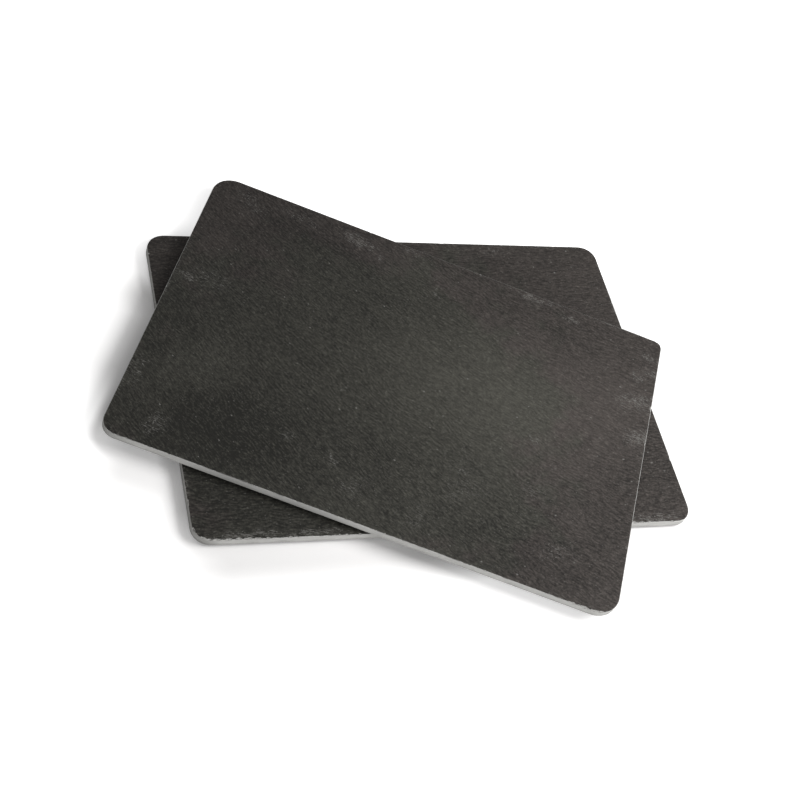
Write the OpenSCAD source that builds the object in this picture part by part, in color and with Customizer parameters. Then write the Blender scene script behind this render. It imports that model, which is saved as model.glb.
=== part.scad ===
// A pair of slate serving boards, one lying turned on the other.
// Each board is a sawn slab of natural slate on four stick-on feet.
// The upper board stands on its own feet on the lower slab and lifts straight off.
// Origin: centre of the lower board, at table level. X runs along the upper board's
// long side, -Y is the side that faces the viewer, Z is up.

/* [Boards] */
// Length of each slab along its long side
board_l = 350; // [300:1:370]
// Width of each slab along its short side
board_w = 250; // [220:1:270]
// Thickness of the lower slab
lower_t = 6.0; // [4:0.1:10]
// Thickness of the upper slab
upper_t = 5.4; // [4:0.1:10]
// Middling radius of the rounded corners, which are ground by hand
corner_r = 12.5; // [6:0.5:20]
// Size of the rubbed-down arris along the rims
arris = 0.4; // [0.2:0.1:1]

/* [Stack] */
// Angle by which the lower board is turned, anticlockwise from above
lower_turn = 26.4; // [0:0.1:30]
// Centre of the upper board to the right of the lower one's
upper_right = -7.5; // [-12:0.1:12]
// Centre of the upper board behind the lower one's
upper_back = -15.5; // [-18:0.1:18]

/* [Feet] */
// Diameter of a foot pad
pad_d = 15; // [10:0.5:18]
// Height of a foot pad without its tape
pad_h = 2.0; // [1.5:0.1:4]
// Radius that rounds a pad's lower edge
pad_edge_r = 0.5; // [0.2:0.1:0.7]
// Thickness of the double-sided tape disc over a pad
tape_t = 0.3; // [0.2:0.1:1]
// How far the tape stays in from the pad's edge
tape_in = 0.3; // [0.1:0.1:1]
// Distance of a foot's centre from the slab's short side
foot_inset_l = 78; // [70:1:100]
// Distance of a foot's centre from the slab's long side
foot_inset_w = 63; // [60:1:85]

/* [Rim flakes] */
// Width of a middling flake scar along the rim
flake_w = 4.5; // [3:0.5:7]
// Depth of a middling flake scar, square to the rim
flake_h = 0.7; // [0.4:0.1:1]
// Direction in which a flake was struck off, from level outwards towards straight up
flake_tilt = 62; // [50:1:70]

/* [Hidden] */

// Smoothness of round forms
round_fn = 96;

// A foot's height, pad and tape together
foot_h = pad_h + tape_t;
// Undersides of the two slabs, above the table
lower_z = foot_h;
upper_z = lower_z + lower_t + foot_h;

// Straight runs of the long and short sides, between middling corners
run_l = board_l - 2 * corner_r;
run_w = board_w - 2 * corner_r;

// Radii of each slab's corners in middling radii: front left, front right, back left, back right
lower_corner_shares = [1.0, 1.0, 1.1, 1.0];
upper_corner_shares = [0.9, 1.35, 1.28, 0.56];

// Where flakes have come off each upper rim: the place along the side's straight run, from
// -1 at its left end to 1 at its right end seen from outside, then the size in middling flakes
lower_front_flake_shares = [
    [-0.99, 1.3], [-0.945, 0.9], [-0.90, 1.2], [-0.83, 0.8], [-0.72, 0.6], [-0.47, 0.7],
    [0.12, 0.8], [0.70, 0.9], [0.79, 1.3], [0.93, 0.6]
];
lower_back_flake_shares = [[-0.87, 0.8], [-0.60, 0.7], [-0.30, 1.0], [0.10, 0.8], [0.75, 1.1]];
lower_left_flake_shares = [[-0.80, 0.9], [-0.55, 0.7], [0.20, 0.8], [0.86, 1.2]];
lower_right_flake_shares = [[-0.90, 0.7], [-0.66, 1.1], [0.05, 0.7], [0.62, 0.8]];
upper_front_flake_shares = [
    [-0.96, 0.9], [-0.78, 0.6], [-0.52, 0.7], [-0.20, 0.6], [0.18, 0.7], [0.52, 0.8],
    [0.88, 0.9], [0.99, 1.5]
];
upper_back_flake_shares = [[-0.70, 0.8], [-0.15, 0.6], [0.35, 0.9], [0.80, 0.7]];
upper_left_flake_shares = [[-0.75, 0.6], [-0.05, 0.9], [0.55, 0.7]];
upper_right_flake_shares = [
    [-0.65, 0.8], [-0.30, 0.7], [0.22, 1.0], [0.42, 0.9], [0.52, 1.2], [0.78, 0.9]
];

// Whatever follows lies on the lower board, in that board's own frame
module on_lower_board() {
    rotate([0, 0, lower_turn]) translate([0, 0, lower_z]) children();
}

// Whatever follows lies on the upper board, in that board's own frame
module on_upper_board() {
    translate([upper_right, upper_back, upper_z]) children();
}

// The strip of slab behind one side, from one end of its straight run to the other, with
// a rubbed-down arris along the rims; it reaches in past the middle, and out towards -Y
module side_strip(from, to, out, t) {
    past = out / 4;
    translate([from, 0, 0]) rotate([90, 0, 90]) linear_extrude(to - from) polygon([
        [-out, arris], [-out + arris, 0], [past, 0],
        [past, t], [-out + arris, t], [-out, t - arris]
    ]);
}

// A round corner post of slab with the same arris
module slab_corner(r, t) {
    rotate_extrude($fn = round_fn) polygon([
        [0, 0], [r - arris, 0], [r, arris], [r, t - arris], [r - arris, t], [0, t]
    ]);
}

// The sawn slab before anything has chipped off it, with each corner ground to its own radius
module sawn_slab(corner_shares, t) {
    x = board_l / 2;
    y = board_w / 2;
    front_left = corner_shares[0] * corner_r;
    front_right = corner_shares[1] * corner_r;
    back_left = corner_shares[2] * corner_r;
    back_right = corner_shares[3] * corner_r;
    side_strip(-x + front_left, x - front_right, y, t);
    rotate([0, 0, 90]) side_strip(-y + front_right, y - back_right, x, t);
    rotate([0, 0, 180]) side_strip(-x + back_right, x - back_left, y, t);
    rotate([0, 0, -90]) side_strip(-y + back_left, y - front_left, x, t);
    translate([-x + front_left, -y + front_left, 0]) slab_corner(front_left, t);
    translate([x - front_right, -y + front_right, 0]) slab_corner(front_right, t);
    translate([-x + back_left, y - back_left, 0]) slab_corner(back_left, t);
    translate([x - back_right, y - back_right, 0]) slab_corner(back_right, t);
}

// The ball that bites one flake out of a rim at the origin whose outside is towards -Y
module flake(size) {
    w = flake_w * size;
    h = flake_h * size;
    // Radius of the ball whose cap is w across and h deep
    ball_r = (w * w / 4 + h * h) / (2 * h);
    rotate([90 - flake_tilt, 0, 0]) translate([0, 0, ball_r - h])
        sphere(ball_r, $fn = round_fn);
}

// The flakes along one side, whose straight run lies out from the centre
module side_flakes(shares, run, out, t) {
    for (s = shares) {
        translate([s[0] * run / 2, -out, t]) flake(s[1]);
    }
}

// A finished slab with the flake scars of its four sides
module slate(t, corner_shares, front, back, left, right) {
    difference() {
        sawn_slab(corner_shares, t);
        side_flakes(front, run_l, board_w / 2, t);
        rotate([0, 0, 180]) side_flakes(back, run_l, board_w / 2, t);
        rotate([0, 0, -90]) side_flakes(left, run_w, board_l / 2, t);
        rotate([0, 0, 90]) side_flakes(right, run_w, board_l / 2, t);
    }
}

module lower_slate() {
    color([0.21, 0.205, 0.195]) on_lower_board() slate(
        lower_t, lower_corner_shares, lower_front_flake_shares, lower_back_flake_shares,
        lower_left_flake_shares, lower_right_flake_shares
    );
}

module upper_slate() {
    color([0.24, 0.235, 0.22]) on_upper_board() slate(
        upper_t, upper_corner_shares, upper_front_flake_shares, upper_back_flake_shares,
        upper_left_flake_shares, upper_right_flake_shares
    );
}

// Places a foot under the slab; sx and sy are -1 or 1 for left or right and front or back
module at_foot(sx, sy) {
    translate([sx * (board_l / 2 - foot_inset_l), sy * (board_w / 2 - foot_inset_w), 0])
        children();
}

// A rubber pad with a rounded lower edge, hung under its tape
module foot_pad() {
    core_r = pad_d / 2 - pad_edge_r;
    color([0.07, 0.07, 0.07]) translate([0, 0, -foot_h]) {
        cylinder(h = pad_h, r = core_r, $fn = round_fn);
        translate([0, 0, pad_edge_r])
            cylinder(h = pad_h - pad_edge_r, r = pad_d / 2, $fn = round_fn);
        rotate_extrude($fn = round_fn) translate([core_r, pad_edge_r])
            circle(pad_edge_r, $fn = round_fn);
    }
}

// The double-sided tape disc between a pad and the slab
module foot_tape() {
    color([0.82, 0.8, 0.74]) translate([0, 0, -tape_t])
        cylinder(h = tape_t, r = pad_d / 2 - tape_in, $fn = round_fn);
}

module lower_pad(sx, sy) {
    on_lower_board() at_foot(sx, sy) foot_pad();
}

module lower_tape(sx, sy) {
    on_lower_board() at_foot(sx, sy) foot_tape();
}

module upper_pad(sx, sy) {
    on_upper_board() at_foot(sx, sy) foot_pad();
}

module upper_tape(sx, sy) {
    on_upper_board() at_foot(sx, sy) foot_tape();
}

lower_slate();
upper_slate();

lower_pad(-1, -1);  // lower_pad_front_left
lower_pad(1, -1);  // lower_pad_front_right
lower_pad(-1, 1);  // lower_pad_back_left
lower_pad(1, 1);  // lower_pad_back_right

lower_tape(-1, -1);  // lower_tape_front_left
lower_tape(1, -1);  // lower_tape_front_right
lower_tape(-1, 1);  // lower_tape_back_left
lower_tape(1, 1);  // lower_tape_back_right

upper_pad(-1, -1);  // upper_pad_front_left
upper_pad(1, -1);  // upper_pad_front_right
upper_pad(-1, 1);  // upper_pad_back_left
upper_pad(1, 1);  // upper_pad_back_right

upper_tape(-1, -1);  // upper_tape_front_left
upper_tape(1, -1);  // upper_tape_front_right
upper_tape(-1, 1);  // upper_tape_back_left
upper_tape(1, 1);  // upper_tape_back_right
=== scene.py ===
import math
import random
from collections import namedtuple

import bmesh
import bpy
from mathutils import Matrix, Quaternion, Vector


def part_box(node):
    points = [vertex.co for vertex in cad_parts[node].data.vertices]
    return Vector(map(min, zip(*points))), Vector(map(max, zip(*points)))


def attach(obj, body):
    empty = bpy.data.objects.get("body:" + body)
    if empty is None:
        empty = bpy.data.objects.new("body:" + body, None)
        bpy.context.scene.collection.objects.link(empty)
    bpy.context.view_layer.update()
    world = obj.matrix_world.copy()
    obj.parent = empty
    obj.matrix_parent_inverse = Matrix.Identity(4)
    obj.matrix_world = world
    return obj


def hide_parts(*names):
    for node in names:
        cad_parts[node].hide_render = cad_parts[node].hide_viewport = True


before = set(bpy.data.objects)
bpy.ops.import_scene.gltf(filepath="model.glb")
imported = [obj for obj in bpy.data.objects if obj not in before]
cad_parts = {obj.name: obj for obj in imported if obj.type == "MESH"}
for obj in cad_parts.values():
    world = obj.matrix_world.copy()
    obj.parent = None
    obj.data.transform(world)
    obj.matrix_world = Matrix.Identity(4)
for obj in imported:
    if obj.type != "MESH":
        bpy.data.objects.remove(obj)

bl_info = {
    "name": "Slate Serving Boards",
    "version": (1, 0, 0),
    "blender": (4, 5, 0),
    "location": "3D View > Sidebar > Slate",
    "description": "Two riven slate boards on stick-on feet, one lying turned on the other",
    "category": "Object",
}

MM = 0.001
# Places nearer to each other than this are the same place
TOUCH = 0.000001

upper_low, upper_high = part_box("upper_slate")
lower_low, lower_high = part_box("lower_slate")
pad_low, pad_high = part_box("upper_pad_front_left")
tape_low, tape_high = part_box("upper_tape_front_left")

# The lower board lies round the origin; its corners aren't alike, so its box is off centre
LOWER_CENTRE = Vector((0.0, 0.0, 0.0))

FOOT_PLACES = ("front_left", "front_right", "back_left", "back_right")

# Cuts of a slab's outline: pieces of a long run, of a short run, and of a corner arc, and
# cuts up its sides
LONG_RUN_CUTS = (48, 4)
SHORT_RUN_CUTS = (33, 4)
CORNER_CUTS = 16
WALL_CUTS = 5

# Cuts of a foot's discs: round them, up a pad's side and up a tape's side; and the rings on
# their flat faces, as shares of the radius
DISC_CUTS = 72
PAD_WALL_CUTS = 5
TAPE_WALL_CUTS = 3
RING_SHARES = (0.07, 0.18, 0.24, 0.24)

# Steepest bend between two faces that still looks rounded
SLAB_BEND = math.radians(32)
FOOT_BEND = math.radians(40)

# Shapes of lump that bite flakes out of a rim, and rounds in which a board's flakes are cut;
# lumps that would need more rounds are left out
LUMP_SHAPES = 5
FLAKE_ROUNDS = 5
# No crumb is cut deeper than this, in millimetres
CRUMB_DEPTH = 0.7

# Sides of a board, anticlockwise from the front. A place along a side is a share of half its
# straight run, from -1 at its left end to 1 at its right end seen from outside, and goes on
# round the corner past them
FRONT, RIGHT, BACK, LEFT = range(4)

# Material slots of a slab
RIVEN, SAWN, SCAR = range(3)


def measure(name, description, size):
    """A length property with its default in metres."""
    return bpy.props.FloatProperty(
        name=name, description=description, default=size, unit="LENGTH")


def turning(name, description, degrees):
    """An angle property with its default in degrees."""
    return bpy.props.FloatProperty(
        name=name, description=description, default=math.radians(degrees), unit="ROTATION")


def spot(name, description, place):
    """A property for a place, with its default in metres."""
    return bpy.props.FloatVectorProperty(
        name=name, description=description, default=place, unit="LENGTH",
        subtype="TRANSLATION")


def tone(name, description, colour):
    """A colour property with its default."""
    return bpy.props.FloatVectorProperty(
        name=name, description=description, default=colour, subtype="COLOR", min=0.0, max=1.0)


class BoardSizes(bpy.types.PropertyGroup):
    """Sizes of the two slabs."""

    length: measure("Length", "Long side of a slab", upper_high.x - upper_low.x)
    width: measure("Width", "Short side of a slab", upper_high.y - upper_low.y)
    corner_radius: measure("Corner radius", "Middling radius of the rounded corners", 0.0125)
    arris: measure("Arris", "Size of the rubbed-down edge along the rims", 0.0004)
    lower_turn: turning("Lower turn", "Angle by which the lower board lies turned", 26.4)
    swell: measure("Swell", "Depth of the broad hollows in a riven face", 0.00026)
    ripple: measure("Ripple", "Depth of the ripples along the grain", 0.00010)
    rim_wander: measure("Rim wander", "How far the sawn sides wander inwards", 0.00010)


class FootSizes(bpy.types.PropertyGroup):
    """Sizes of the stick-on feet."""

    pad_diameter: measure("Pad diameter", "Diameter of a rubber pad", pad_high.x - pad_low.x)
    pad_height: measure("Pad height", "Height of a rubber pad", pad_high.z - pad_low.z)
    pad_edge: measure("Pad edge", "Rounding of a pad's lower edge", 0.0005)
    pad_waist: measure("Pad waist", "How far a pad's side draws in at half height", 0.00018)
    pad_pits: measure("Pad pits", "Depth of the pits in a pad's foam", 0.00007)
    tape_diameter: measure(
        "Tape diameter", "Diameter of a disc of double-sided tape", tape_high.x - tape_low.x)
    tape_bite: measure(
        "Tape bite", "How far the tape reaches up into the slab's hollows", 0.0003)
    tape_fray: measure("Tape fray", "How far the tape's punched edge frays inwards", 0.00012)


class StoneTones(bpy.types.PropertyGroup):
    """Colours of the stone, the feet and the floor."""

    brown: tone("Brown slate", "Warm dark parts of a riven face", (0.0345, 0.0302, 0.0275))
    green: tone("Green slate", "Greenish parts of a riven face", (0.0325, 0.0316, 0.0267))
    dust: tone("Dust", "Scuffs and flecks on a riven face", (0.170, 0.165, 0.155))
    sawn: tone("Sawn side", "Sawn sides of a slab", (0.445, 0.443, 0.428))
    sawn_dark: tone("Sawn shade", "Dark layers in the sawn sides", (0.200, 0.198, 0.190))
    scar: tone("Flake scar", "Fresh stone where a flake came off", (0.400, 0.395, 0.380))
    rubber: tone("Rubber", "Foot pads", (0.018, 0.018, 0.018))
    bloom: tone("Rubber bloom", "Greyer spots on the pads", (0.045, 0.044, 0.043))
    tape: tone("Tape", "Double-sided tape", (0.62, 0.60, 0.54))
    stain: tone("Tape stain", "Yellowed spots on the tape", (0.45, 0.41, 0.33))
    floor: tone("Floor", "Floor under the boards", (0.900, 0.889, 0.883))


class StageSetup(bpy.types.PropertyGroup):
    """Floor, camera and lamps."""

    floor_size: measure("Floor size", "Side of the square paper floor", 8.0)
    camera_place: spot("Camera place", "Where the camera stands", (-0.0761, -0.7015, 0.8033))
    camera_target: spot(
        "Camera target", "Point at the centre of the picture", (-0.0071, -0.0321, 0.0160))
    camera_roll: turning("Camera roll", "Turn of the camera about its view", 25.08)
    camera_lens: bpy.props.FloatProperty(
        name="Camera lens", description="Focal length in millimetres", default=68.85)
    camera_film: bpy.props.FloatProperty(
        name="Camera film", description="Width of the film in millimetres", default=36.0)
    key_place: spot("Key lamp place", "Where the lamp at the right hangs", (0.53, -0.02, 0.53))
    key_size: measure("Key lamp size", "Diameter of the lamp at the right", 0.50)
    key_power: bpy.props.FloatProperty(
        name="Key lamp", description="Power of the lamp at the right, in watts", default=5.2)
    fill_place: spot("Fill lamp place", "Where the lamp in front hangs", (0.20, -1.25, 0.42))
    fill_size: measure("Fill lamp size", "Diameter of the lamp in front", 1.00)
    fill_power: bpy.props.FloatProperty(
        name="Fill lamp", description="Power of the lamp in front, in watts", default=6.0)
    room_light: bpy.props.FloatProperty(
        name="Room light", description="Strength of the light from all round", default=0.27)


# A board: its turn and the direction of its grain are in radians, its seed varies its stone
Board = namedtuple(
    "Board",
    "name node centre turn grain bottom top seed corners flakes crumble scuffs clouds")
# A lump that bites a flake out of a rim: its place, its size in metres, its tilt from level in
# degrees, how far out of the rim its middle lies, and its breadth square to the rim
Bite = namedtuple("Bite", "side share wide deep tilt out stretch")

# Radii of each slab's corners in middling radii, by the signs of their places along and across
LOWER_CORNERS = {(-1, -1): 1.0, (1, -1): 1.0, (-1, 1): 1.1, (1, 1): 1.0}
UPPER_CORNERS = {(-1, -1): 0.9, (1, -1): 1.35, (-1, 1): 1.28, (1, 1): 0.56}

# Places where flakes have come off the upper rims: side, share along it, width and depth in
# millimetres
LOWER_FLAKES = (
    (FRONT, -0.99, 5.9, 0.9), (FRONT, -0.945, 4.0, 0.6), (FRONT, -0.90, 5.4, 0.8),
    (FRONT, -0.83, 3.6, 0.6), (FRONT, -0.72, 2.7, 0.4), (FRONT, -0.47, 3.2, 0.5),
    (FRONT, 0.12, 3.6, 0.6), (FRONT, 0.70, 4.0, 0.6), (FRONT, 0.79, 5.9, 0.9),
    (FRONT, 0.93, 2.7, 0.4), (BACK, -0.87, 3.6, 0.6), (BACK, -0.60, 3.2, 0.5),
    (BACK, -0.30, 4.5, 0.7), (BACK, 0.10, 3.6, 0.6), (BACK, 0.75, 5.0, 0.8),
    (LEFT, -0.80, 4.0, 0.6), (LEFT, -0.55, 3.2, 0.5), (LEFT, 0.20, 3.6, 0.6),
    (LEFT, 0.86, 5.4, 0.8), (RIGHT, -0.90, 3.2, 0.5), (RIGHT, -0.66, 5.0, 0.8),
    (RIGHT, 0.05, 3.2, 0.5), (RIGHT, 0.62, 3.6, 0.6),
)
UPPER_FLAKES = (
    (FRONT, -0.96, 4.0, 0.6), (FRONT, -0.78, 2.7, 0.4), (FRONT, -0.52, 3.2, 0.5),
    (FRONT, -0.20, 2.7, 0.4), (FRONT, 0.18, 3.2, 0.5), (FRONT, 0.52, 3.6, 0.6),
    (FRONT, 0.88, 4.0, 0.6), (FRONT, 0.99, 6.8, 1.0), (BACK, -0.70, 3.6, 0.6),
    (BACK, -0.15, 2.7, 0.4), (BACK, 0.35, 4.0, 0.6), (BACK, 0.80, 3.2, 0.5),
    (LEFT, -0.75, 2.7, 0.4), (LEFT, -0.05, 4.0, 0.6), (LEFT, 0.55, 3.2, 0.5),
    (RIGHT, -0.65, 3.6, 0.6), (RIGHT, -0.30, 3.2, 0.5), (RIGHT, 0.22, 4.5, 0.7),
    (RIGHT, 0.42, 4.0, 0.6), (RIGHT, 0.52, 5.4, 0.8), (RIGHT, 0.78, 4.0, 0.6),
)

# Stretches where the upper rim has crumbled: side, from share, to share, count, and largest
# width in millimetres
LOWER_CRUMBLE = (
    (FRONT, -1.06, -0.84, 9, 6.6), (FRONT, -1.10, -0.78, 30, 4.0), (FRONT, -0.78, -0.40, 24, 2.4),
    (FRONT, 0.60, 0.98, 26, 3.0),
    (BACK, 0.80, 1.15, 26, 1.6), (BACK, -1.0, 0.8, 40, 1.3), (LEFT, -1.0, 1.0, 26, 1.2),
    (RIGHT, -1.0, 1.0, 26, 1.3),
)
UPPER_CRUMBLE = (
    (FRONT, 0.88, 0.99, 5, 6.4), (FRONT, 0.87, 1.02, 22, 4.2), (FRONT, -1.0, 0.86, 40, 1.2),
    (RIGHT, 0.15, 0.85, 16, 1.7),
    (RIGHT, -1.0, 0.1, 8, 1.0), (BACK, -1.0, 1.0, 44, 1.4), (LEFT, -1.0, 1.0, 30, 1.2),
)

# Scuffs on the upper riven faces: across and up the board from its centre, length and width
# in millimetres, angle in degrees, and strength
UPPER_SCUFFS = (
    (-63, 112, 17, 6, -6, 0.80), (-108, 113, 22, 7, -12, 0.35), (-146, 110, 20, 9, -30, 0.40),
    (-22, 121, 12, 4, 0, 0.45), (-44, 105, 6, 2.5, -50, 0.50), (164, 60, 20, 10, 15, 0.70),
    (169, 28, 13, 8, 30, 0.95), (172, 92, 8, 4, 10, 0.70), (-164, 20, 14, 3, -8, 0.80),
    (-149, 26, 20, 11, 8, 0.35), (-144, -106, 14, 8, 70, 0.48), (34, -104, 16, 7, 75, 0.30),
    (-10, -97, 18, 9, 70, 0.25), (97, -7, 7, 3, -40, 0.55), (55, -56, 6, 3, 10, 0.50),
    (3, 88, 5, 1.6, -35, 0.60), (-37, -24, 5, 1.6, 40, 0.45), (74, 121, 16, 4, 0, 0.80),
    (103, 114, 10, 4, -5, 0.65), (166, 106, 9, 4, -10, 0.75), (162, 84, 8, 6, 15, 0.60),
    (128, -92, 16, 10, 20, 0.34), (60, -70, 22, 12, 40, 0.28), (105, -50, 12, 8, 0, 0.34),
    (-168, -72, 6, 20, 0, 0.40), (-62, -78, 6, 3, 30, 0.50), (-30, -84, 9, 3, -50, 0.50),
    (-14, -101, 10, 4, -40, 0.42),
)
LOWER_SCUFFS = (
    (-142, -122, 28, 4, 2, 1.00), (-100, -122, 28, 3, 2, 0.85), (-55, -121, 20, 3, 2, 0.60),
    (145, -122, 22, 4, 2, 0.80), (-152, 70, 12, 5, -20, 0.45), (160, 20, 16, 7, 60, 0.45),
    (90, 118, 18, 5, 0, 0.40), (-168, -60, 10, 3, 80, 0.50),
)

# Broad light and dark clouds on the upper riven faces, partly the stone's own mottling and partly
# painted light: on the upper board a painted sheen, lighter to the right and back, and painted
# falloff, darker at the front and front left. Across and up the board from its centre, length and
# width in millimetres, angle in degrees, and how much lighter
UPPER_CLOUDS_AND_SHEEN = (
    (66, 22, 92, 66, 10, 0.62), (102, 2, 30, 34, 20, 0.10), (146, 62, 26, 44, -30, 0.20),
    (165, -30, 20, 45, 0, -0.30), (122, -100, 52, 28, 0, -0.24), (72, -104, 40, 24, 0, -0.12),
    (-160, 70, 22, 60, 0, 0.20), (-158, -82, 20, 40, 0, 0.16), (-165, -26, 24, 46, 0, -0.10),
    (-15, 108, 46, 18, 0, 0.28), (76, 112, 20, 13, 0, 0.12), (102, 98, 22, 16, 0, -0.12),
    (-132, -52, 22, 34, -35, 0.40), (-98, -92, 66, 42, 15, -0.50), (-92, 97, 50, 20, 0, -0.14),
    (-135, 32, 32, 26, 0, -0.12), (-4, -78, 24, 26, 0, -0.12),
)
# On the lower board the two dark clouds at its front are painted shade, where it runs out from
# under the upper board's front and right rims
LOWER_CLOUDS_AND_SHADE = (
    (-138, -88, 50, 36, 0, -0.20), (150, -88, 46, 46, 0, -0.28), (-150, 90, 30, 40, 0, 0.10),
    (40, 112, 32, 18, 0, 0.16), (110, 106, 40, 18, 0, -0.06),
)

# How the floor's glow varies round the lower and the upper board: the span in millimetres
# across the board over which it brightens behind it, then how much brighter it is at the
# front left corner, darker in front, and brighter at the front right corner
FLOOR_SHADES = ((75.0, 115.0, 0.15, 0.14, 0.0), (30.0, 90.0, 0.42, 0.0, 0.30))


def boards():
    """The lower and the upper board, with their places, turns and worn spots."""
    turn = bpy.context.scene.slate_sizes.lower_turn
    return (
        Board("lower_board", "lower_slate", LOWER_CENTRE, turn, 0.0,
              lower_low.z, lower_high.z, 11, LOWER_CORNERS, LOWER_FLAKES, LOWER_CRUMBLE,
              LOWER_SCUFFS, LOWER_CLOUDS_AND_SHADE),
        Board("upper_board", "upper_slate", (upper_low + upper_high) / 2, 0.0, -0.34,
              upper_low.z, upper_high.z, 23, UPPER_CORNERS, UPPER_FLAKES, UPPER_CRUMBLE,
              UPPER_SCUFFS, UPPER_CLOUDS_AND_SHEEN),
    )


def is_lower(board):
    """Whether this is the board that carries the other one."""
    return board.node == "lower_slate"


class Wire:
    """A socket in a material's node tree that works in Python sums."""

    def __init__(self, tree, socket=None):
        self.tree = tree
        self.socket = socket

    def node(self, kind, settings=None, inputs=None, output=0):
        """Add a node: its settings first, then the values or links of its sockets."""
        made = self.tree.nodes.new(kind)
        for name, value in (settings or {}).items():
            setattr(made, name, value)
        for name, value in (inputs or {}).items():
            if isinstance(value, Wire):
                self.tree.links.new(value.socket, made.inputs[name])
            else:
                made.inputs[name].default_value = value
        return Wire(self.tree, made.outputs[output] if len(made.outputs) else None)

    def maths(self, operation, *values):
        """Add a Math node on values and links."""
        return self.node("ShaderNodeMath", {"operation": operation}, dict(enumerate(values)))

    def __add__(self, other):
        return self.maths("ADD", self, other)

    __radd__ = __add__

    def __sub__(self, other):
        return self.maths("SUBTRACT", self, other)

    def __rsub__(self, other):
        return self.maths("SUBTRACT", other, self)

    def __mul__(self, other):
        return self.maths("MULTIPLY", self, other)

    __rmul__ = __mul__

    def __truediv__(self, other):
        return self.maths("DIVIDE", self, other)

    def __abs__(self):
        return self.maths("ABSOLUTE", self)

    def over(self, limit):
        """1 where the value is over a limit, else 0."""
        return self.maths("GREATER_THAN", self, limit)

    def at_least(self, other):
        """The larger of two values."""
        return self.maths("MAXIMUM", self, other)

    def at_most(self, other):
        """The smaller of two values."""
        return self.maths("MINIMUM", self, other)

    def fade(self, start, end, low=0.0, high=1.0):
        """Go smoothly from low to high while the value goes from start to end."""
        return self.node(
            "ShaderNodeMapRange", {"interpolation_type": "SMOOTHSTEP"},
            {"Value": self, "From Min": start, "From Max": end, "To Min": low, "To Max": high})

    def axis(self, name):
        """One coordinate of a vector, or X, Y, Z for a colour's red, green and blue."""
        return self.node("ShaderNodeSeparateXYZ", inputs={"Vector": self}, output=name)

    def scaled(self, factor):
        """A vector or colour times a factor."""
        return self.node(
            "ShaderNodeVectorMath", {"operation": "SCALE"}, {"Vector": self, "Scale": factor})

    def plus(self, other):
        """The sum of two vectors."""
        return self.node("ShaderNodeVectorMath", {"operation": "ADD"}, {0: self, 1: other})

    def length(self):
        """How long a vector is."""
        return self.node(
            "ShaderNodeVectorMath", {"operation": "LENGTH"}, {"Vector": self}, "Value")

    def framed(self, place, angle, scale):
        """The coordinates in a frame that stands at a place, turned and scaled."""
        return self.node(
            "ShaderNodeMapping", {"vector_type": "TEXTURE"},
            {"Vector": self, "Location": place, "Rotation": (0.0, 0.0, angle), "Scale": scale})

    def noise(self, scale=1.0, detail=2.0, roughness=0.5, output="Fac"):
        """Cloudy noise round 0.5 over these coordinates."""
        return self.node(
            "ShaderNodeTexNoise", None,
            {"Vector": self, "Scale": scale, "Detail": detail, "Roughness": roughness}, output)

    def blend(self, first, second):
        """Mix two colours by this value, from first at 0 to second at 1."""
        return self.node(
            "ShaderNodeMix", {"data_type": "RGBA"}, {0: self, 6: first, 7: second}, 2)

    def seen_plainly(self):
        """1 for what is seen directly, in a gloss or through glass, and 0 for stray light."""
        ways = ("Is Camera Ray", "Is Glossy Ray", "Is Transmission Ray")
        seen, shine, clear = (self.node("ShaderNodeLightPath", output=way) for way in ways)
        return seen.at_least(shine).at_least(clear)


def new_finish(name):
    """A material with an empty tree, and a wire to start from."""
    finish = bpy.data.materials.new(name)
    finish.use_nodes = True
    finish.node_tree.nodes.clear()
    return finish, Wire(finish.node_tree)


def coat(start, colour, roughness, height, specular):
    """Close a material: colour, roughness, a height in millimetres, and gloss."""
    normal = start.node("ShaderNodeBump", None, {"Height": height, "Distance": MM}, "Normal")
    shader = start.node(
        "ShaderNodeBsdfPrincipled", None,
        {"Base Color": colour, "Roughness": roughness, "Specular IOR Level": specular,
         "Normal": normal})
    start.node("ShaderNodeOutputMaterial", None, {"Surface": shader})


def paint(colour):
    """A colour property as a socket's value."""
    return (colour[0], colour[1], colour[2], 1.0)


def on_board(start, board):
    """Millimetres along, across and above a board's upper face, from its centre."""
    point = start.node("ShaderNodeTexCoord", output="Object")
    return point.framed((board.centre.x, board.centre.y, board.top), board.turn, (MM, MM, MM))


def along_grain(along, across, seed, long, thin):
    """Coordinates for marks that are long along the grain and thin across it."""
    return along.node(
        "ShaderNodeCombineXYZ", None,
        {"X": along / long, "Y": across / thin, "Z": float(seed)}, "Vector")


def rim_distance(x, y, sizes):
    """Millimetres in from a board's outline, with all four corners at the middling radius."""
    radius = sizes.corner_radius / MM
    past_x = abs(x) - (sizes.length / 2 - sizes.corner_radius) / MM
    past_y = abs(y) - (sizes.width / 2 - sizes.corner_radius) / MM
    round_corner = x.node(
        "ShaderNodeCombineXYZ", None,
        {"X": past_x.at_least(0.0), "Y": past_y.at_least(0.0)}, "Vector").length()
    return radius - round_corner - past_x.at_least(past_y).at_most(0.0)


def scattered_dots(place, cells):
    """Distance to the nearest of scattered dots, and that dot's own random colour."""
    return [
        place.node(
            "ShaderNodeTexVoronoi", {"voronoi_dimensions": "2D"},
            {"Vector": cells, "Scale": 1.0}, output)
        for output in ("Distance", "Color")]


def fleck_marks(place, dots):
    """Pale flecks: a few larger ones and more small ones, each a grain's own dot."""
    wobble = place.scaled(1 / 0.9).noise(detail=2.0, output="Color").scaled(0.22)
    nearness, chance = scattered_dots(place, dots.plus(wobble))
    big = chance.axis("X").over(0.93) * (nearness - chance.axis("Y") * 0.04).fade(0.08, 0.03)
    big = big * chance.axis("Z")
    nearness, chance = scattered_dots(place, dots.scaled(2.6).plus(wobble.scaled(1.6)))
    small = chance.axis("X").over(0.80) * nearness.fade(0.20, 0.08)
    return big + small * chance.axis("Y") * 0.46


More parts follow.
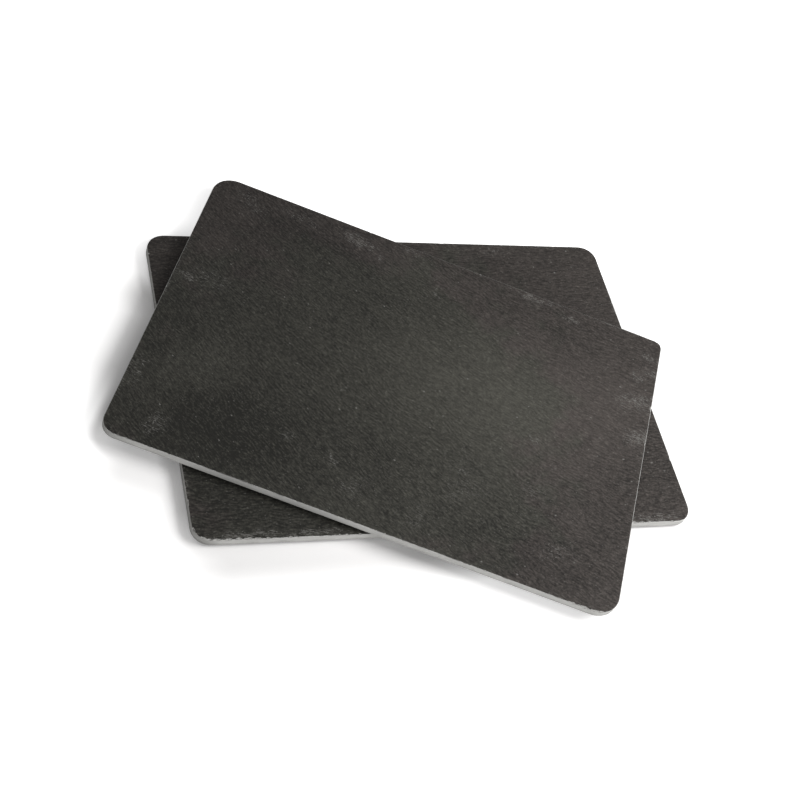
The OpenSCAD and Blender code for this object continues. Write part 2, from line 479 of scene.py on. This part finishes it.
def worn_places(place, rim, scuffs):
    """How worn the face is: in each scuff, and in frayed stretches along the rims."""
    wobble = 9.0
    shaky = place.plus(place.scaled(1 / 7).noise(detail=2.0, output="Color").scaled(wobble))
    frayed = (place.scaled(1 / 24).noise(detail=2.0)).fade(0.42, 0.68)
    worn = rim.fade(5.0, 0.0, 0.0, 0.60) * frayed
    for right, up, long, wide, turn, strength in scuffs:
        ring = shaky.framed(
            (right + wobble / 2, up + wobble / 2, 0.0), math.radians(turn), (long, wide, 40.0))
        worn = worn.at_least(ring.length().fade(1.4, 0.1, 0.0, strength))
    return worn


def clouds_and_painted_light(place, clouds):
    """How much lighter the stone is in its broad clouds, all together: the stone's own mottling,
    with painted sheen, painted light and painted shade.
    """
    haze = 0.0
    for right, up, long, wide, turn, lighter in clouds:
        ring = place.framed((right, up, 0.0), math.radians(turn), (long, wide, 60.0))
        haze = haze + ring.length().fade(1.5, 0.0, 0.0, lighter)
    return haze


def riven_face(board):
    """Split slate: brown and greenish clouds, streaks along the grain, flecks and scuffs, with
    painted light: lighter towards the right, and painted sheen and shade in its broad clouds.
    """
    tones = bpy.context.scene.slate_tones
    sizes = bpy.context.scene.slate_sizes
    finish, start = new_finish(f"{board.name}_riven_face")
    place = on_board(start, board)
    x = place.axis("X")
    y = place.axis("Y")
    upper_face = place.axis("Z").over(-1.0)
    seed = board.seed

    # Grain, which bends slowly over the board and wanders
    wander = (place.scaled(1 / 38).noise(detail=1.0) - 0.5) * 9.0
    if is_lower(board):
        along = x
        across = y + 0.02 * x + wander
    else:
        along = x - 0.45 * y
        across = y + 0.45 * x - 0.0010 * x * x - 0.0008 * x * y + wander
    streaks = along_grain(along, across, seed, 5.5, 1.6).noise(detail=3.0, roughness=0.6) - 0.5
    threads = along_grain(along, across, seed + 5, 2.8, 0.9).noise(detail=2.0) - 0.5
    bands = along_grain(along, across, seed + 9, 40.0, 8.0).noise(detail=2.0) - 0.5
    grit = place.scaled(1 / 1.5).noise(detail=2.0, roughness=0.6) - 0.5
    hairs = along_grain(along, across, seed + 6, 4.2, 0.9).noise(detail=1.0).fade(0.68, 0.80)

    # Clouds
    clouds = place.framed((3.0 * seed, 0.0, 0.0), 0.4, (62.0, 62.0, 62.0)).noise(detail=3.0)
    blots = along_grain(along, across, seed + 7, 9.0, 5.0).noise(detail=2.5, roughness=0.6) - 0.5
    patches = place.framed((0.0, 7.0 * seed, 0.0), 0.9, (17.0, 17.0, 17.0)).noise(detail=3.0)
    greener = place.framed((-40.0, -32.0, 0.0), 0.3, (172.0, 140.0, 100.0)).length()
    greenness = (greener + (clouds - 0.5) * 1.2 + (patches - 0.5) * 0.5).fade(1.06, 0.80)

    flecks = fleck_marks(place, along_grain(along, across, seed, 8.0, 6.0))
    flecks = flecks + hairs * patches.fade(0.46, 0.62) * 0.34

    # Scuffs: dusty strokes and specks that gather in the worn places
    worn = worn_places(place, rim_distance(x, y, sizes), board.scuffs)
    strokes = along_grain(x, y + 0.15 * x, seed + 3, 4.2, 0.85).noise(detail=2.0, roughness=0.6)
    specks = place.scaled(1 / 1.3).noise(detail=1.0)
    dusty = (strokes + worn * 0.17).fade(0.61, 0.74)
    dusty = dusty.at_least((specks + worn * 0.15).fade(0.66, 0.78))
    dusty = dusty * (worn * 3.0).at_most(1.0) * upper_face

    grain = streaks * 3.2 + threads * 1.5 + grit * 2.0
    # Painted light: the 0.0014 * x term makes the face lighter towards the board's right, where
    # the key lamp hangs
    lightness = 1.03 + 0.0014 * x + grain + grain * grain * 0.4 + bands * 0.6 + blots * 0.8
    lightness = lightness + (patches - 0.5) * 0.6 + (clouds - 0.5) * 0.3
    # The broad clouds add painted sheen, painted light and painted shade to the stone's own
    # mottling
    lightness = lightness + worn * 0.16 + clouds_and_painted_light(place, board.clouds) * upper_face
    stone = greenness.blend(paint(tones.brown), paint(tones.green))
    stone = stone.scaled(lightness.at_least(0.35))
    stone = (flecks + dusty * 0.66).at_most(1.0).blend(stone, paint(tones.dust))

    roughness = 0.70 + (patches - 0.5) * 0.12 - streaks * 0.15 + dusty * 0.12
    height = streaks * 0.24 + threads * 0.10 + grit * 0.10 + bands * 0.20 + (patches - 0.5) * 0.3
    height = height + flecks * 0.03 - dusty * 0.04
    coat(start, stone, roughness, height, specular=0.15)
    return finish


def sawn_side(board):
    """Sawn edge of the slab: pale, layered, and darker towards the underside."""
    tones = bpy.context.scene.slate_tones
    finish, start = new_finish(f"{board.name}_sawn_side")
    place = on_board(start, board)
    depth = place.axis("Z") * (-1.0 / ((board.top - board.bottom) / MM))
    layers = place.framed((board.seed, 0.0, 0.0), 0.0, (26.0, 26.0, 0.42)).noise(detail=3.0)
    fine = place.framed((0.0, board.seed, 0.0), 0.0, (1.6, 1.6, 0.5)).noise(detail=2.5)
    broad = place.framed((0.0, board.seed, 3.0), 0.0, (13.0, 13.0, 9.0)).noise(detail=2.0)
    low = (depth + (broad - 0.5) * 0.7).fade(0.50, 0.85)
    # Painted shade: the last term makes the sides darker towards the board's left end, away from
    # the key lamp at the right
    dark = (layers.fade(0.50, 0.74) * 0.40 + (fine - 0.5) * 0.55 + low * 0.30
            + (broad - 0.5) * 0.40 + place.axis("X").fade(-150.0, -172.0) * 0.55)
    # Along the arris the dark crust of the riven face comes through, least at the short sides
    ends = abs(place.axis("X")).fade(168.0, 173.0)
    patchy = (broad + fine).fade(0.95, 1.15) * (1.0 - ends * 0.75)
    crust = depth.fade(0.10, 0.02) * patchy.at_least(place.axis("Y").fade(119.0, 122.0))
    crust = crust + depth.fade(0.92, 0.99) * patchy
    stone = dark.at_least(0.0).at_most(1.0).blend(paint(tones.sawn), paint(tones.sawn_dark))
    stone = (crust * 0.75).blend(stone, paint(tones.brown))
    height = (layers - 0.5) * 0.10 + (fine - 0.5) * 0.16
    coat(start, stone, 0.78 + (fine - 0.5) * 0.2, height, specular=0.25)
    return finish


def flake_scar(board):
    """Fresh broken stone under a flake that came off."""
    tones = bpy.context.scene.slate_tones
    finish, start = new_finish(f"{board.name}_flake_scar")
    place = on_board(start, board)
    grit = place.scaled(1 / 0.8).noise(detail=3.0, roughness=0.6)
    steps = place.framed((0.0, board.seed, 0.0), 0.0, (3.0, 3.0, 0.18)).noise(detail=2.0)
    dark = (grit - 0.5) * 1.2 + steps.fade(0.40, 0.66) * 0.55
    stone = dark.at_least(0.0).at_most(1.0).blend(paint(tones.scar), paint(tones.brown))
    coat(start, stone, 0.82, (grit - 0.5) * 0.20 + (steps - 0.5) * 0.10, specular=0.2)
    return finish


def foam_rubber():
    """Black foam rubber of the pads, with fine open pores."""
    tones = bpy.context.scene.slate_tones
    finish, start = new_finish("foam_rubber")
    point = start.node("ShaderNodeTexCoord", output="Object")
    pores = point.node("ShaderNodeTexVoronoi", None, {"Vector": point, "Scale": 2600.0})
    pores = pores.fade(0.05, 0.32)
    bloom = point.noise(scale=420.0, detail=3.0)
    colour = (bloom.fade(0.45, 0.75) * 0.5).blend(paint(tones.rubber), paint(tones.bloom))
    # Painted shade: the pits are painted darker as well as sunk
    coat(start, colour.scaled(0.55 + pores * 0.45), 0.86 - bloom * 0.15, pores * 0.12,
         specular=0.3)
    return finish


def tape_fleece():
    """Off-white fleece tape with matted fibres."""
    tones = bpy.context.scene.slate_tones
    finish, start = new_finish("tape_fleece")
    point = start.node("ShaderNodeTexCoord", output="Object")
    fibres = point.node(
        "ShaderNodeTexNoise", None,
        {"Vector": point, "Scale": 1900.0, "Detail": 2.0, "Distortion": 2.5}, "Fac")
    stain = point.noise(scale=260.0, detail=2.0)
    colour = (stain.fade(0.4, 0.8) * 0.5).blend(paint(tones.tape), paint(tones.stain))
    coat(start, colour.scaled(0.8 + fibres * 0.35), 0.55 + fibres * 0.2, fibres * 0.05,
         specular=0.45)
    return finish


def paper_glow(start, board, sizes, shade):
    """How much the floor glows round a board: full far off, dimmed where its shadow lies."""
    back_start, back_end, corner_light, front_shade, front_light = shade
    place = on_board(start, board)
    right = place.axis("X")
    up = place.axis("Y")
    off = rim_distance(right, up, sizes)
    close = right.fade(-166.0, -178.0) * off.fade(-22.0, -4.0) * up.fade(-126.0, -96.0)
    corner = up.fade(-60.0, -110.0) * up.fade(-190.0, -140.0) * off.fade(-2.0, -10.0)
    beside = right.fade(-150.0, -185.0) * (0.12 + corner * corner_light)
    front = up.fade(-100.0, -130.0) * front_shade
    bright = up.fade(-100.0, -122.0) * right.fade(-20.0, 70.0) * front_light
    base = 0.22 + beside - close * 0.26 + up.fade(back_start, back_end) * 0.60 - front
    base = base + bright
    return base + (1.0 - base) * off.fade(-12.0, -56.0)


def floor_paper():
    """White paper floor: it keeps shadows, and runs out to pure white away from the boards."""
    tones = bpy.context.scene.slate_tones
    sizes = bpy.context.scene.slate_sizes
    finish, start = new_finish("floor_paper")
    lower, upper = (
        paper_glow(start, board, sizes, shade) for board, shade in zip(boards(), FLOOR_SHADES))
    shader = start.node(
        "ShaderNodeBsdfPrincipled", None,
        {"Base Color": paint(tones.floor), "Roughness": 0.9, "Specular IOR Level": 0.0,
         "Emission Color": start.seen_plainly() * lower.at_most(upper),
         "Emission Strength": 1.0})
    start.node("ShaderNodeOutputMaterial", None, {"Surface": shader})
    return finish


def deselect():
    """Leave edit mode and deselect all."""
    if bpy.context.mode != "OBJECT":
        bpy.ops.object.mode_set(mode="OBJECT")
    bpy.ops.object.select_all(action="DESELECT")


def edit_all():
    """Enter edit mode on the active object with its whole mesh selected."""
    bpy.ops.object.mode_set(mode="EDIT")
    bpy.ops.mesh.select_all(action="SELECT")


def pick(kind, wanted):
    """Select the vertices, edges or faces in edit mode that pass a test."""
    bpy.ops.mesh.select_mode(type=kind)
    bpy.ops.mesh.select_all(action="DESELECT")
    mesh = bmesh.from_edit_mesh(bpy.context.edit_object.data)
    for part in {"VERT": mesh.verts, "EDGE": mesh.edges, "FACE": mesh.faces}[kind]:
        if wanted(part):
            part.select_set(True)
    mesh.select_flush_mode()
    bmesh.update_edit_mesh(bpy.context.edit_object.data)


def step(edge, axis):
    """How far apart an edge's ends are along an axis."""
    return abs(edge.verts[0].co[axis] - edge.verts[1].co[axis])


def saw_outline(board, sizes, thick):
    """A flat-faced slab with rounded corners, standing on z = 0 round the origin."""
    deselect()
    bpy.ops.mesh.primitive_plane_add(size=1)
    slab = bpy.context.object
    edit_all()
    bpy.ops.transform.resize(value=(sizes.length, sizes.width, 1))
    for (along, across), share in board.corners.items():
        pick("VERT", lambda vert: vert.co.x * along > sizes.length / 2 - TOUCH
             and vert.co.y * across > sizes.width / 2 - TOUCH)
        bpy.ops.mesh.bevel(
            affect="VERTICES", offset_type="OFFSET", offset=sizes.corner_radius * share,
            segments=CORNER_CUTS, profile=0.5)
    bpy.ops.mesh.select_all(action="SELECT")
    bpy.ops.mesh.delete(type="ONLY_FACE")
    # The straight runs, by the axis that points out of them and how far out they lie
    runs = ((1, sizes.width / 2, LONG_RUN_CUTS), (0, sizes.length / 2, SHORT_RUN_CUTS))
    for out, reach, cuts in runs:
        for count in cuts:
            pick("EDGE", lambda edge: step(edge, out) < TOUCH
                 and abs(abs(edge.verts[0].co[out]) - reach) < TOUCH)
            bpy.ops.mesh.subdivide(number_cuts=count - 1)
    bpy.ops.mesh.select_mode(type="VERT")
    bpy.ops.mesh.select_all(action="SELECT")
    mesh = bmesh.from_edit_mesh(slab.data)
    mesh.select_history.clear()
    mesh.select_history.add(max(mesh.verts, key=lambda vert: vert.co.x + vert.co.y))
    bmesh.update_edit_mesh(slab.data)
    bpy.ops.mesh.fill_grid(span=SHORT_RUN_CUTS[0] * SHORT_RUN_CUTS[1] + CORNER_CUTS, offset=0)
    bpy.ops.mesh.select_all(action="SELECT")
    bpy.ops.mesh.extrude_region_move(TRANSFORM_OT_translate={"value": (0, 0, thick)})
    bpy.ops.mesh.select_all(action="SELECT")
    bpy.ops.mesh.normals_make_consistent(inside=False)
    pick("EDGE", lambda edge: step(edge, 2) > thick / 2)
    bpy.ops.mesh.subdivide(number_cuts=WALL_CUTS)
    pick("EDGE", lambda edge: len(edge.link_faces) == 2
         and abs(abs(edge.link_faces[0].normal.z) - abs(edge.link_faces[1].normal.z)) > 0.5)
    bpy.ops.mesh.bevel(
        affect="EDGES", offset_type="OFFSET", offset=sizes.arris, segments=2, profile=0.5)
    bpy.ops.object.mode_set(mode="OBJECT")
    return slab


def smooth(value, start, end):
    """0 before start, 1 past end, and smooth between."""
    share = min(max((value - start) / (end - start), 0.0), 1.0)
    return share * share * (3 - 2 * share)


def corner_radius(board, sizes, along, across):
    """Radius of the corner on a given side of a board's middle lines."""
    return sizes.corner_radius * board.corners[1 if along > 0 else -1, 1 if across > 0 else -1]


def rim_depth(co, board, sizes):
    """Metres in from the outline of a board for a point in its own frame."""
    radius = corner_radius(board, sizes, co.x, co.y)
    past_x = abs(co.x) - (sizes.length / 2 - radius)
    past_y = abs(co.y) - (sizes.width / 2 - radius)
    return (radius - math.hypot(max(past_x, 0.0), max(past_y, 0.0))
            - min(max(past_x, past_y), 0.0))


def foot_spots():
    """Centres of the upper board's feet, in the lower board's frame."""
    back = Matrix.Rotation(-bpy.context.scene.slate_sizes.lower_turn, 3, "Z")
    spots = []
    for place in FOOT_PLACES:
        low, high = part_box(f"upper_pad_{place}")
        spots.append(back @ ((low + high) / 2 - LOWER_CENTRE))
    return spots


def weigh(slab, board, sizes, thick):
    """Vertex groups: how much the upper face, the underside and the sides may sink."""
    groups = {name: slab.vertex_groups.new(name=name) for name in ("top", "under", "side")}
    feet = foot_spots() if is_lower(board) else []
    for vert in slab.data.vertices:
        inside = rim_depth(vert.co, board, sizes)
        # The faces sink least at the rims, and hardly at all under the upper board's feet
        share = 0.35 + 0.65 * smooth(inside, 0.0, 0.009)
        if vert.co.z > thick - sizes.arris * 1.1:
            for foot in feet:
                gap = math.hypot(vert.co.x - foot.x, vert.co.y - foot.y)
                share *= 0.12 + 0.88 * smooth(gap, 0.0085, 0.024)
            groups["top"].add([vert.index], share, "REPLACE")
        elif vert.co.z < sizes.arris * 1.1:
            groups["under"].add([vert.index], share, "REPLACE")
        if inside < sizes.arris * 1.5:
            groups["side"].add([vert.index], 1.0, "REPLACE")


def cloud_texture(name, depth):
    """A cloudy texture of unit size, with finer clouds down to a depth."""
    texture = bpy.data.textures.new(name, "CLOUDS")
    texture.noise_scale = 1.0
    texture.noise_depth = depth
    texture.noise_basis = "IMPROVED_PERLIN"
    return texture


def press(slab, group, direction, depth, texture, guide):
    """Sink part of a mesh by a texture laid on a guide, by at most a depth."""
    sink = slab.modifiers.new("press", "DISPLACE")
    sink.texture = texture
    sink.texture_coords = "OBJECT"
    sink.texture_coords_object = guide
    sink.vertex_group = group
    sink.direction = direction
    sink.mid_level = 1.0
    sink.strength = depth
    bpy.ops.object.modifier_apply(modifier=sink.name)


def guide_for(place, angle, scale):
    """An empty that carries a texture to a place, turned and stretched."""
    guide = bpy.data.objects.new("guide", None)
    bpy.context.collection.objects.link(guide)
    guide.location = place
    guide.rotation_euler = (0.0, 0.0, angle)
    guide.scale = scale
    return guide


def weather(slab, board, sizes):
    """Give the flat slab its riven hollows, ripples and wandering sides."""
    # Each pattern's scale is the size of its hollows, and its place makes each board's own
    seed = board.seed
    hollows = guide_for((0.031 * seed, 0.0, 0.0), board.grain, (0.060, 0.042, 0.060))
    folds = guide_for((0.0, 0.017 * seed, 0.0), board.grain, (0.020, 0.0062, 0.020))
    edges = guide_for((0.0, 0.0, 0.013 * seed), 0.0, (0.0065, 0.0065, 0.0022))
    bow = guide_for((0.0, 0.0, 0.041 * seed), 0.0, (0.045, 0.045, 0.045))
    broad = cloud_texture("broad", 2)
    deselect()
    slab.select_set(True)
    bpy.context.view_layer.objects.active = slab
    bpy.context.view_layer.update()
    for group, way in (("top", 1.0), ("under", -0.7)):
        press(slab, group, "Z", sizes.swell * way, broad, hollows)
        press(slab, group, "Z", sizes.ripple * way, broad, folds)
    press(slab, "side", "NORMAL", sizes.rim_wander, broad, edges)
    press(slab, "side", "NORMAL", sizes.rim_wander, broad, bow)
    for guide in (hollows, folds, edges, bow):
        bpy.data.objects.remove(guide)
    slab.vertex_groups.clear()


def knap_lumps(count):
    """Ragged lumps of unit size that bite flakes out of a rim."""
    lumps = []
    for number in range(count):
        deselect()
        bpy.ops.mesh.primitive_ico_sphere_add(subdivisions=2, radius=1)
        edit_all()
        bpy.ops.transform.vertex_random(offset=0.20, uniform=0.6, normal=0.3, seed=number)
        bpy.ops.object.mode_set(mode="OBJECT")
        lumps.append(bpy.context.object)
    return lumps


def rim_frame(side, share, board, sizes):
    """Where a share along a side is, as a matrix: X runs along the rim, -Y points outwards."""
    long_side = side in (FRONT, BACK)
    half = (sizes.length if long_side else sizes.width) / 2
    out = (sizes.width if long_side else sizes.length) / 2
    turned = Matrix.Rotation(side * math.pi / 2, 4, "Z")
    end = turned @ Vector((share, -1.0, 0.0))
    radius = corner_radius(board, sizes, end.x, end.y)
    along = share * (half - sizes.corner_radius)
    run = half - radius
    bend = max(abs(along) - run, 0.0) / radius * (1 if along > 0 else -1)
    along = min(max(along, -run), run)
    corner = Matrix.Translation((along, radius - out, 0.0))
    return turned @ corner @ Matrix.Rotation(bend, 4, "Z") @ Matrix.Translation(
        (0.0, -radius, 0.0))


def place_lump(lumps, dice, frame_at, thick, bite):
    """One lump set into the upper rim as a bite says."""
    source = dice.choice(lumps)
    lump = source.copy()
    lump.data = source.data.copy()
    bpy.context.collection.objects.link(lump)
    place = frame_at @ Matrix.Translation((0.0, -bite.out, thick))
    tipped = Matrix.Rotation(math.radians(bite.tilt), 4, "X") @ Matrix.Rotation(
        dice.uniform(-0.25, 0.25), 4, "Z")
    size = Matrix.Diagonal((bite.wide / 2, bite.wide / 2 * bite.stretch, bite.deep, 1.0))
    lump.data.transform(place @ tipped @ size)
    return lump


def draw_bites(dice, board):
    """The bites of a board's flakes and then of its crumbled stretches."""
    bites = []
    for side, share, wide, deep in board.flakes:
        bites.append(Bite(side, share, wide * MM * 1.05, deep * MM, dice.uniform(18, 36),
                          0.0001, dice.uniform(0.55, 0.85)))
    for side, start, end, count, widest in board.crumble:
        for _ in range(count):
            share = dice.uniform(start, end)
            wide = widest * (0.3 + 0.7 * dice.random() ** 1.6) * MM
            deep = min(wide * dice.uniform(0.22, 0.40), CRUMB_DEPTH * MM)
            bites.append(Bite(side, share, wide, deep, dice.uniform(6, 48),
                              dice.uniform(-0.0005, 0.0003), dice.uniform(0.45, 0.9)))
    return bites


def cut_away(slab, cutters):
    """Take joined cutters away from a slab; the cut faces are flake scars."""
    deselect()
    for lump in cutters:
        lump.select_set(True)
    bpy.context.view_layer.objects.active = cutters[0]
    if len(cutters) > 1:
        bpy.ops.object.join()
    cutter = bpy.context.object
    cutter.data.materials.clear()
    for finish in slab.data.materials:
        cutter.data.materials.append(finish)
    for face in cutter.data.polygons:
        face.material_index = SCAR
    deselect()
    slab.select_set(True)
    bpy.context.view_layer.objects.active = slab
    cut = slab.modifiers.new("flakes", "BOOLEAN")
    cut.operation = "DIFFERENCE"
    cut.solver = "MANIFOLD"
    cut.object = cutter
    bpy.ops.object.modifier_apply(modifier=cut.name)
    bpy.data.objects.remove(cutter)


def knock_flakes(slab, board, sizes, thick):
    """Bite the flakes and the crumbled stretches out of the upper rim."""
    dice = random.Random(board.seed)
    lumps = knap_lumps(LUMP_SHAPES)
    # Lumps that touch go into separate rounds, so that each round's cutter is clean
    rounds = []
    for bite in draw_bites(dice, board):
        frame_at = rim_frame(bite.side, bite.share, board, sizes)
        lump = place_lump(lumps, dice, frame_at, thick, bite)
        middle = frame_at.to_translation()
        for group in rounds:
            if all((middle - other).length > 0.75 * (bite.wide + size)
                   for other, size, _ in group):
                group.append((middle, bite.wide, lump))
                break
        else:
            if len(rounds) < FLAKE_ROUNDS:
                rounds.append([(middle, bite.wide, lump)])
            else:
                bpy.data.objects.remove(lump)
    for group in rounds:
        cut_away(slab, [lump for _, _, lump in group])
    for lump in lumps:
        bpy.data.objects.remove(lump)


class SLATE_OT_saw_slabs(bpy.types.Operator):
    """Saw and rive the two slabs, and knock the flakes off their upper rims"""

    bl_idname = "slate.saw_slabs"
    bl_label = "Saw Slabs"

    def execute(self, context):
        sizes = context.scene.slate_sizes
        for board in boards():
            thick = board.top - board.bottom
            slab = saw_outline(board, sizes, thick)
            slab.name = f"{board.name}_slab"
            for finish in (riven_face(board), sawn_side(board), flake_scar(board)):
                slab.data.materials.append(finish)
            for face in slab.data.polygons:
                face.material_index = RIVEN if abs(face.normal.z) > 0.95 else SAWN
            weigh(slab, board, sizes, thick)
            weather(slab, board, sizes)
            # Nothing stands proud of the sawn thickness
            for vert in slab.data.vertices:
                vert.co.z = min(max(vert.co.z, 0.0), thick)
            knock_flakes(slab, board, sizes, thick)
            bpy.ops.object.shade_smooth_by_angle(angle=SLAB_BEND)
            slab.data.transform(
                Matrix.Translation((board.centre.x, board.centre.y, board.bottom))
                @ Matrix.Rotation(board.turn, 4, "Z"))
            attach(slab, board.name)
            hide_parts(board.node)
        return {"FINISHED"}


def cut_disc(radius, height):
    """A closed disc that stands on z = 0, ready to be shaped."""
    deselect()
    bpy.ops.mesh.primitive_cylinder_add(
        vertices=DISC_CUTS, radius=radius, depth=height, location=(0, 0, height / 2),
        end_fill_type="NGON")
    bpy.ops.object.transform_apply(location=True, rotation=False, scale=False)
    return bpy.context.object


def ring_faces(radius):
    """Inset the two flat faces of the disc in edit mode into rings and close their middles."""
    pick("FACE", lambda face: len(face.verts) > 4)
    for share in RING_SHARES:
        bpy.ops.mesh.inset(thickness=radius * share, depth=0)
    bpy.ops.mesh.poke()


def copy_to_feet(master, kind, finish):
    """A copy of a foot's disc at each of the eight feet, each turned its own way."""
    dice = random.Random(5)
    master.data.materials.append(finish)
    for board in ("lower", "upper"):
        for place in FOOT_PLACES:
            node = f"{board}_{kind}_{place}"
            low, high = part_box(node)
            piece = master.copy()
            piece.data = master.data.copy()
            piece.name = f"{board}_{place}_{kind}"
            bpy.context.collection.objects.link(piece)
            piece.data.transform(
                Matrix.Translation(((low.x + high.x) / 2, (low.y + high.y) / 2, low.z))
                @ Matrix.Rotation(dice.uniform(0, math.tau), 4, "Z"))
            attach(piece, f"{board}_board")
            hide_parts(node)
    bpy.data.objects.remove(master)


class SLATE_OT_stick_pads(bpy.types.Operator):
    """Die-cut a foam rubber pad and stick a copy under each corner of both slabs"""

    bl_idname = "slate.stick_pads"
    bl_label = "Stick Pads"

    def execute(self, context):
        feet = context.scene.slate_feet
        radius = feet.pad_diameter / 2
        height = feet.pad_height
        pad = cut_disc(radius, height)
        edit_all()
        pick("EDGE", lambda edge: all(vert.co.z < TOUCH for vert in edge.verts))
        bpy.ops.mesh.bevel(
            affect="EDGES", offset_type="OFFSET", offset=feet.pad_edge, segments=4, profile=0.5)
        pick("EDGE", lambda edge: step(edge, 2) > height / 2)
        bpy.ops.mesh.subdivide(number_cuts=PAD_WALL_CUTS)
        rise = height - feet.pad_edge
        bands = PAD_WALL_CUTS + 1
        for ring in range(1, bands):
            level = feet.pad_edge + rise * ring / bands
            pick("VERT", lambda vert: abs(vert.co.z - level) < rise / 30)
            drawn = 1 - feet.pad_waist / radius * math.sin(math.pi * ring / bands)
            bpy.ops.transform.resize(value=(drawn, drawn, 1), center_override=(0, 0, level))
        ring_faces(radius)
        bpy.ops.object.mode_set(mode="OBJECT")
        guide = guide_for((0.0, 0.0, 0.0), 0.0, (0.0011, 0.0011, 0.0011))
        bpy.context.view_layer.update()
        group = pad.vertex_groups.new(name="foam")
        for vert in pad.data.vertices:
            on_side = TOUCH < vert.co.z < height - TOUCH
            group.add([vert.index], 1.0 if on_side else 0.3, "REPLACE")
        press(pad, "foam", "NORMAL", feet.pad_pits, cloud_texture("foam", 2), guide)
        pad.vertex_groups.clear()
        bpy.data.objects.remove(guide)
        bpy.ops.object.shade_smooth_by_angle(angle=FOOT_BEND)
        copy_to_feet(pad, "pad", foam_rubber())
        return {"FINISHED"}


class SLATE_OT_stick_tapes(bpy.types.Operator):
    """Punch a disc of double-sided tape and put a copy between each pad and its slab"""

    bl_idname = "slate.stick_tapes"
    bl_label = "Stick Tapes"

    def execute(self, context):
        feet = context.scene.slate_feet
        radius = feet.tape_diameter / 2
        thick = tape_high.z - tape_low.z
        tape = cut_disc(radius, thick + feet.tape_bite)
        edit_all()
        pick("EDGE", lambda edge: step(edge, 2) > thick / 2)
        bpy.ops.mesh.subdivide(number_cuts=TAPE_WALL_CUTS)
        ring_faces(radius)
        bpy.ops.object.mode_set(mode="OBJECT")
        guide = guide_for((0.0, 0.0, 0.0), 0.0, (0.0009, 0.0009, 0.0003))
        bpy.context.view_layer.update()
        group = tape.vertex_groups.new(name="cut")
        for vert in tape.data.vertices:
            edge = math.hypot(vert.co.x, vert.co.y) > radius * 0.99
            group.add([vert.index], 1.0 if edge else 0.0, "REPLACE")
        press(tape, "cut", "NORMAL", feet.tape_fray, cloud_texture("cut", 1), guide)
        tape.vertex_groups.clear()
        bpy.data.objects.remove(guide)
        bpy.ops.object.shade_smooth_by_angle(angle=FOOT_BEND)
        copy_to_feet(tape, "tape", tape_fleece())
        return {"FINISHED"}


class SLATE_OT_set_stage(bpy.types.Operator):
    """Lay the floor, light it from the right and set the camera"""

    bl_idname = "slate.set_stage"
    bl_label = "Set Stage"

    def execute(self, context):
        setup = context.scene.slate_stage
        deselect()
        bpy.ops.mesh.primitive_plane_add(size=setup.floor_size, location=(0, 0, 0))
        floor = context.object
        floor.name = "paper_floor"
        floor.data.materials.append(floor_paper())

        lamps = (
            ("key_lamp", setup.key_place, setup.key_size, setup.key_power),
            ("fill_lamp", setup.fill_place, setup.fill_size, setup.fill_power),
        )
        for name, place, size, power in lamps:
            deselect()
            bpy.ops.object.light_add(type="AREA", location=place)
            lamp = context.object
            lamp.name = name
            lamp.data.shape = "DISK"
            lamp.data.size = size
            lamp.data.energy = power
            lamp.rotation_euler = (-lamp.location).to_track_quat("-Z", "Y").to_euler()

        world = bpy.data.worlds.new("white_room")
        world.use_nodes = True
        world.node_tree.nodes.clear()
        start = Wire(world.node_tree)
        strength = setup.room_light + start.seen_plainly() * (1.0 - setup.room_light)
        sky = start.node(
            "ShaderNodeBackground", None,
            {"Color": (1.0, 1.0, 1.0, 1.0), "Strength": strength})
        start.node("ShaderNodeOutputWorld", None, {"Surface": sky})
        context.scene.world = world

        deselect()
        bpy.ops.object.camera_add(location=setup.camera_place)
        camera = context.object
        camera.name = "camera"
        look = Vector(setup.camera_target) - Vector(setup.camera_place)
        turn = look.to_track_quat("-Z", "Y") @ Quaternion((0, 0, 1), setup.camera_roll)
        camera.rotation_euler = turn.to_euler()
        camera.data.lens = setup.camera_lens
        camera.data.sensor_width = setup.camera_film
        context.scene.camera = camera
        context.scene.view_settings.view_transform = "Standard"
        return {"FINISHED"}


class SLATE_PT_boards(bpy.types.Panel):
    """Steps and sizes of the slate boards"""

    bl_idname = "SLATE_PT_boards"
    bl_label = "Slate Serving Boards"
    bl_space_type = "VIEW_3D"
    bl_region_type = "UI"
    bl_category = "Slate"

    def draw(self, context):
        layout = self.layout
        for step_class in STEPS:
            layout.operator(step_class.bl_idname)
        for name in SETTINGS:
            group = getattr(context.scene, name)
            box = layout.box()
            for field in group.__annotations__:
                box.prop(group, field)


STEPS = (SLATE_OT_saw_slabs, SLATE_OT_stick_pads, SLATE_OT_stick_tapes, SLATE_OT_set_stage)
SETTINGS = {
    "slate_sizes": BoardSizes,
    "slate_feet": FootSizes,
    "slate_tones": StoneTones,
    "slate_stage": StageSetup,
}


def register():
    """Add the classes and the scene's settings."""
    for group in SETTINGS.values():
        bpy.utils.register_class(group)
    for name, group in SETTINGS.items():
        setattr(bpy.types.Scene, name, bpy.props.PointerProperty(type=group))
    for step_class in STEPS:
        bpy.utils.register_class(step_class)
    bpy.utils.register_class(SLATE_PT_boards)


def unregister():
    """Take the classes and the settings away again."""
    bpy.utils.unregister_class(SLATE_PT_boards)
    for step_class in reversed(STEPS):
        bpy.utils.unregister_class(step_class)
    for name in SETTINGS:
        delattr(bpy.types.Scene, name)
    for group in reversed(SETTINGS.values()):
        bpy.utils.unregister_class(group)


def main():
    """Set the stage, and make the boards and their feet."""
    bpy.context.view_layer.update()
    register()
    bpy.ops.slate.set_stage()
    bpy.ops.slate.saw_slabs()
    bpy.ops.slate.stick_pads()
    bpy.ops.slate.stick_tapes()


if __name__ == "__main__":
    main()
